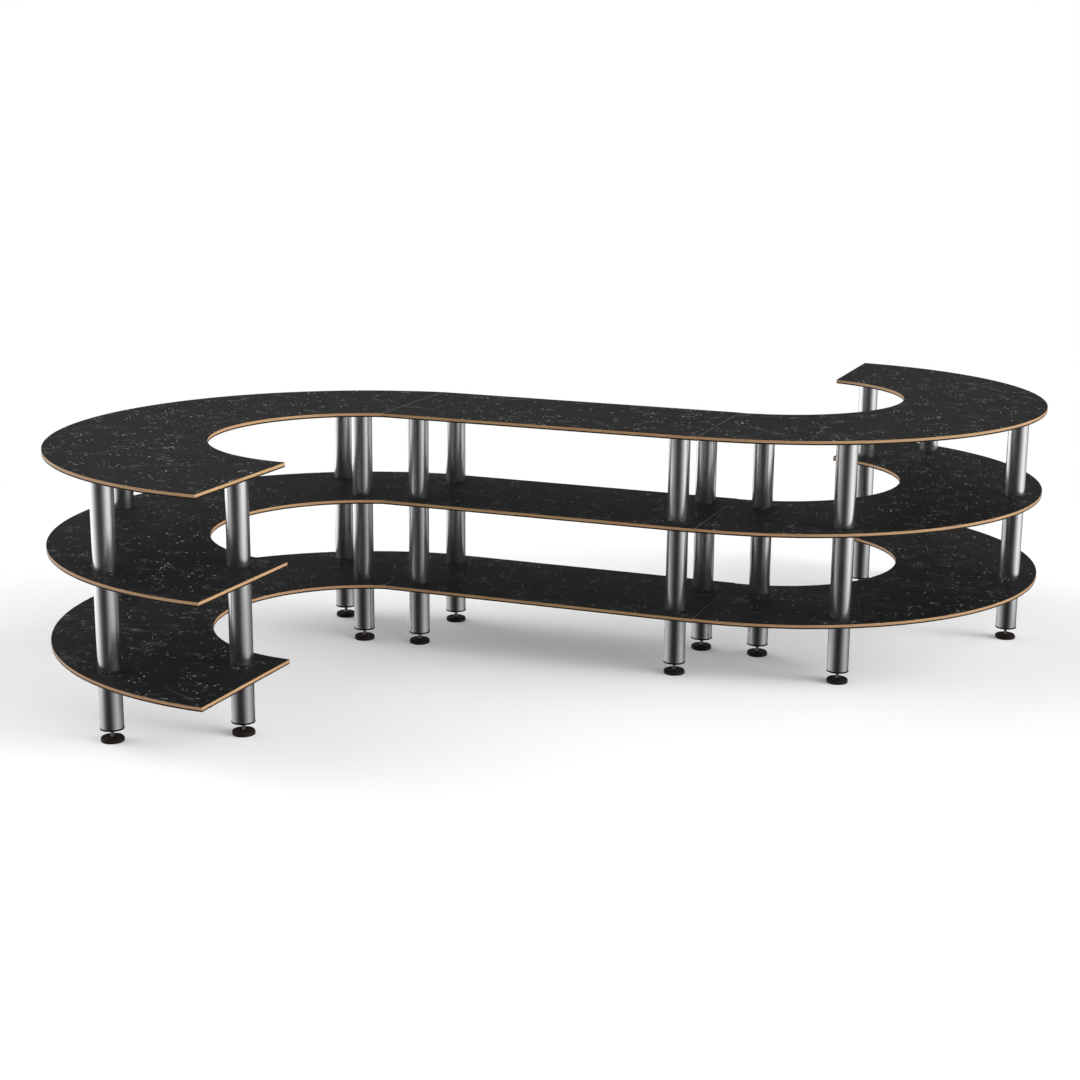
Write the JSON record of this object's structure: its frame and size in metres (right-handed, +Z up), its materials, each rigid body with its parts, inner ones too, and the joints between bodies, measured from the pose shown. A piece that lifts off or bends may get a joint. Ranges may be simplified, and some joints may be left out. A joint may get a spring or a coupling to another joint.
{
  "type": "buffet table",
  "caption": "S-shaped three-tier buffet table: a straight module between two curled ones, marble-look shelves on steel tube legs with screw levelling feet.",
  "frame": {"origin": "middle of the whole plan, on the floor", "axes": "+X along the straight module towards the module that curls to the back, +Y to the back, +Z up"},
  "size_m": [3.1438, 3.5962, 0.89],
  "materials": {
    "shelf_board": "board with a satin black marble-look laminate, a light wood edge and a black backing",
    "leg_tube": "satin stainless tube",
    "fastener": "zinc plated",
    "link_plate": "zinc plated",
    "cap": "black moulded plastic",
    "foot_pad": "black-brown moulded plastic",
    "foot_stem": "zinc plated thread"
  },
  "bodies": {
    "table": {"left_top_shelf": "shelf_board", "left_middle_shelf": "shelf_board", "left_bottom_shelf": "shelf_board", "centre_top_shelf": "shelf_board", "centre_middle_shelf": "shelf_board", "centre_bottom_shelf": "shelf_board", "right_top_shelf": "shelf_board", "right_middle_shelf": "shelf_board", "right_bottom_shelf": "shelf_board", "left_upper_tubes": "leg_tube", "left_middle_tubes": "leg_tube", "left_lower_tubes": "leg_tube", "centre_upper_tubes": "leg_tube", "centre_middle_tubes": "leg_tube", "centre_lower_tubes": "leg_tube", "right_upper_tubes": "leg_tube", "right_middle_tubes": "leg_tube", "right_lower_tubes": "leg_tube", "shelf_studs": "fastener", "top_bolts": "fastener", "link_plates": "link_plate", "foot_caps": "cap"},
    "pad_01": {"foot_01_pad": "foot_pad"},
    "stem_01": {"foot_01_stem": "foot_stem"},
    "pad_02": {"foot_02_pad": "foot_pad"},
    "stem_02": {"foot_02_stem": "foot_stem"},
    "pad_03": {"foot_03_pad": "foot_pad"},
    "stem_03": {"foot_03_stem": "foot_stem"},
    "pad_04": {"foot_04_pad": "foot_pad"},
    "stem_04": {"foot_04_stem": "foot_stem"},
    "pad_05": {"foot_05_pad": "foot_pad"},
    "stem_05": {"foot_05_stem": "foot_stem"},
    "pad_06": {"foot_06_pad": "foot_pad"},
    "stem_06": {"foot_06_stem": "foot_stem"},
    "pad_07": {"foot_07_pad": "foot_pad"},
    "stem_07": {"foot_07_stem": "foot_stem"},
    "pad_08": {"foot_08_pad": "foot_pad"},
    "stem_08": {"foot_08_stem": "foot_stem"},
    "pad_09": {"foot_09_pad": "foot_pad"},
    "stem_09": {"foot_09_stem": "foot_stem"},
    "pad_10": {"foot_10_pad": "foot_pad"},
    "stem_10": {"foot_10_stem": "foot_stem"},
    "pad_11": {"foot_11_pad": "foot_pad"},
    "stem_11": {"foot_11_stem": "foot_stem"},
    "pad_12": {"foot_12_pad": "foot_pad"},
    "stem_12": {"foot_12_stem": "foot_stem"},
    "pad_13": {"foot_13_pad": "foot_pad"},
    "stem_13": {"foot_13_stem": "foot_stem"},
    "pad_14": {"foot_14_pad": "foot_pad"},
    "stem_14": {"foot_14_stem": "foot_stem"}
  },
  "joints": [
    {"name": "foot_01_lift", "type": "slide", "parent": "table", "child": "pad_01", "axis": [0, 0, 1], "range_m": [-0.021, 0.021]},
    {"name": "foot_01_turn", "type": "hinge", "parent": "pad_01", "child": "stem_01", "pos_m": [-1.00468, -1.57653, 0.042], "axis": [0, 0, 1], "range_deg": [-4330, 4330]},
    {"name": "foot_02_lift", "type": "slide", "parent": "table", "child": "pad_02", "axis": [0, 0, 1], "range_m": [-0.021, 0.021]},
    {"name": "foot_02_turn", "type": "hinge", "parent": "pad_02", "child": "stem_02", "pos_m": [-1.4771, -0.75826, 0.042], "axis": [0, 0, 1], "range_deg": [-4330, 4330]},
    {"name": "foot_03_lift", "type": "slide", "parent": "table", "child": "pad_03", "axis": [0, 0, 1], "range_m": [-0.021, 0.021]},
    {"name": "foot_03_turn", "type": "hinge", "parent": "pad_03", "child": "stem_03", "pos_m": [-1.00468, 0.06001, 0.042], "axis": [0, 0, 1], "range_deg": [-4330, 4330]},
    {"name": "foot_04_lift", "type": "slide", "parent": "table", "child": "pad_04", "axis": [0, 0, 1], "range_m": [-0.021, 0.021]},
    {"name": "foot_04_turn", "type": "hinge", "parent": "pad_04", "child": "stem_04", "pos_m": [-0.65225, -1.35634, 0.042], "axis": [0, 0, 1], "range_deg": [-4330, 4330]},
    {"name": "foot_05_lift", "type": "slide", "parent": "table", "child": "pad_05", "axis": [0, 0, 1], "range_m": [-0.021, 0.021]},
    {"name": "foot_05_turn", "type": "hinge", "parent": "pad_05", "child": "stem_05", "pos_m": [-0.78975, -0.20527, 0.042], "axis": [0, 0, 1], "range_deg": [-4330, 4330]},
    {"name": "foot_06_lift", "type": "slide", "parent": "table", "child": "pad_06", "axis": [0, 0, 1], "range_m": [-0.021, 0.021]},
    {"name": "foot_06_turn", "type": "hinge", "parent": "pad_06", "child": "stem_06", "pos_m": [-0.57375, -0.17254, 0.042], "axis": [0, 0, 1], "range_deg": [-4330, 4330]},
    {"name": "foot_07_lift", "type": "slide", "parent": "table", "child": "pad_07", "axis": [0, 0, 1], "range_m": [-0.021, 0.021]},
    {"name": "foot_07_turn", "type": "hinge", "parent": "pad_07", "child": "stem_07", "pos_m": [-0.57375, 0.16746, 0.042], "axis": [0, 0, 1], "range_deg": [-4330, 4330]},
    {"name": "foot_08_lift", "type": "slide", "parent": "table", "child": "pad_08", "axis": [0, 0, 1], "range_m": [-0.021, 0.021]},
    {"name": "foot_08_turn", "type": "hinge", "parent": "pad_08", "child": "stem_08", "pos_m": [0.43625, -0.17254, 0.042], "axis": [0, 0, 1], "range_deg": [-4330, 4330]},
    {"name": "foot_09_lift", "type": "slide", "parent": "table", "child": "pad_09", "axis": [0, 0, 1], "range_m": [-0.021, 0.021]},
    {"name": "foot_09_turn", "type": "hinge", "parent": "pad_09", "child": "stem_09", "pos_m": [0.43625, 0.16746, 0.042], "axis": [0, 0, 1], "range_deg": [-4330, 4330]},
    {"name": "foot_10_lift", "type": "slide", "parent": "table", "child": "pad_10", "axis": [0, 0, 1], "range_m": [-0.021, 0.021]},
    {"name": "foot_10_turn", "type": "hinge", "parent": "pad_10", "child": "stem_10", "pos_m": [1.00468, -0.05088, 0.042], "axis": [0, 0, 1], "range_deg": [-4330, 4330]},
    {"name": "foot_11_lift", "type": "slide", "parent": "table", "child": "pad_11", "axis": [0, 0, 1], "range_m": [-0.021, 0.021]},
    {"name": "foot_11_turn", "type": "hinge", "parent": "pad_11", "child": "stem_11", "pos_m": [1.4771, 0.76739, 0.042], "axis": [0, 0, 1], "range_deg": [-4330, 4330]},
    {"name": "foot_12_lift", "type": "slide", "parent": "table", "child": "pad_12", "axis": [0, 0, 1], "range_m": [-0.021, 0.021]},
    {"name": "foot_12_turn", "type": "hinge", "parent": "pad_12", "child": "stem_12", "pos_m": [1.00468, 1.58566, 0.042], "axis": [0, 0, 1], "range_deg": [-4330, 4330]},
    {"name": "foot_13_lift", "type": "slide", "parent": "table", "child": "pad_13", "axis": [0, 0, 1], "range_m": [-0.021, 0.021]},
    {"name": "foot_13_turn", "type": "hinge", "parent": "pad_13", "child": "stem_13", "pos_m": [0.65225, 0.16931, 0.042], "axis": [0, 0, 1], "range_deg": [-4330, 4330]},
    {"name": "foot_14_lift", "type": "slide", "parent": "table", "child": "pad_14", "axis": [0, 0, 1], "range_m": [-0.021, 0.021]},
    {"name": "foot_14_turn", "type": "hinge", "parent": "pad_14", "child": "stem_14", "pos_m": [0.78975, 1.32038, 0.042], "axis": [0, 0, 1], "range_deg": [-4330, 4330]}
  ],
  "couplings": [
    {"joint": "foot_01_turn", "follows": "foot_01_lift", "rad_per_m": 3590.4},
    {"joint": "foot_02_turn", "follows": "foot_02_lift", "rad_per_m": 3590.4},
    {"joint": "foot_03_turn", "follows": "foot_03_lift", "rad_per_m": 3590.4},
    {"joint": "foot_04_turn", "follows": "foot_04_lift", "rad_per_m": 3590.4},
    {"joint": "foot_05_turn", "follows": "foot_05_lift", "rad_per_m": 3590.4},
    {"joint": "foot_06_turn", "follows": "foot_06_lift", "rad_per_m": 3590.4},
    {"joint": "foot_07_turn", "follows": "foot_07_lift", "rad_per_m": 3590.4},
    {"joint": "foot_08_turn", "follows": "foot_08_lift", "rad_per_m": 3590.4},
    {"joint": "foot_09_turn", "follows": "foot_09_lift", "rad_per_m": 3590.4},
    {"joint": "foot_10_turn", "follows": "foot_10_lift", "rad_per_m": 3590.4},
    {"joint": "foot_11_turn", "follows": "foot_11_lift", "rad_per_m": 3590.4},
    {"joint": "foot_12_turn", "follows": "foot_12_lift", "rad_per_m": 3590.4},
    {"joint": "foot_13_turn", "follows": "foot_13_lift", "rad_per_m": 3590.4},
    {"joint": "foot_14_turn", "follows": "foot_14_lift", "rad_per_m": 3590.4}
  ]
}
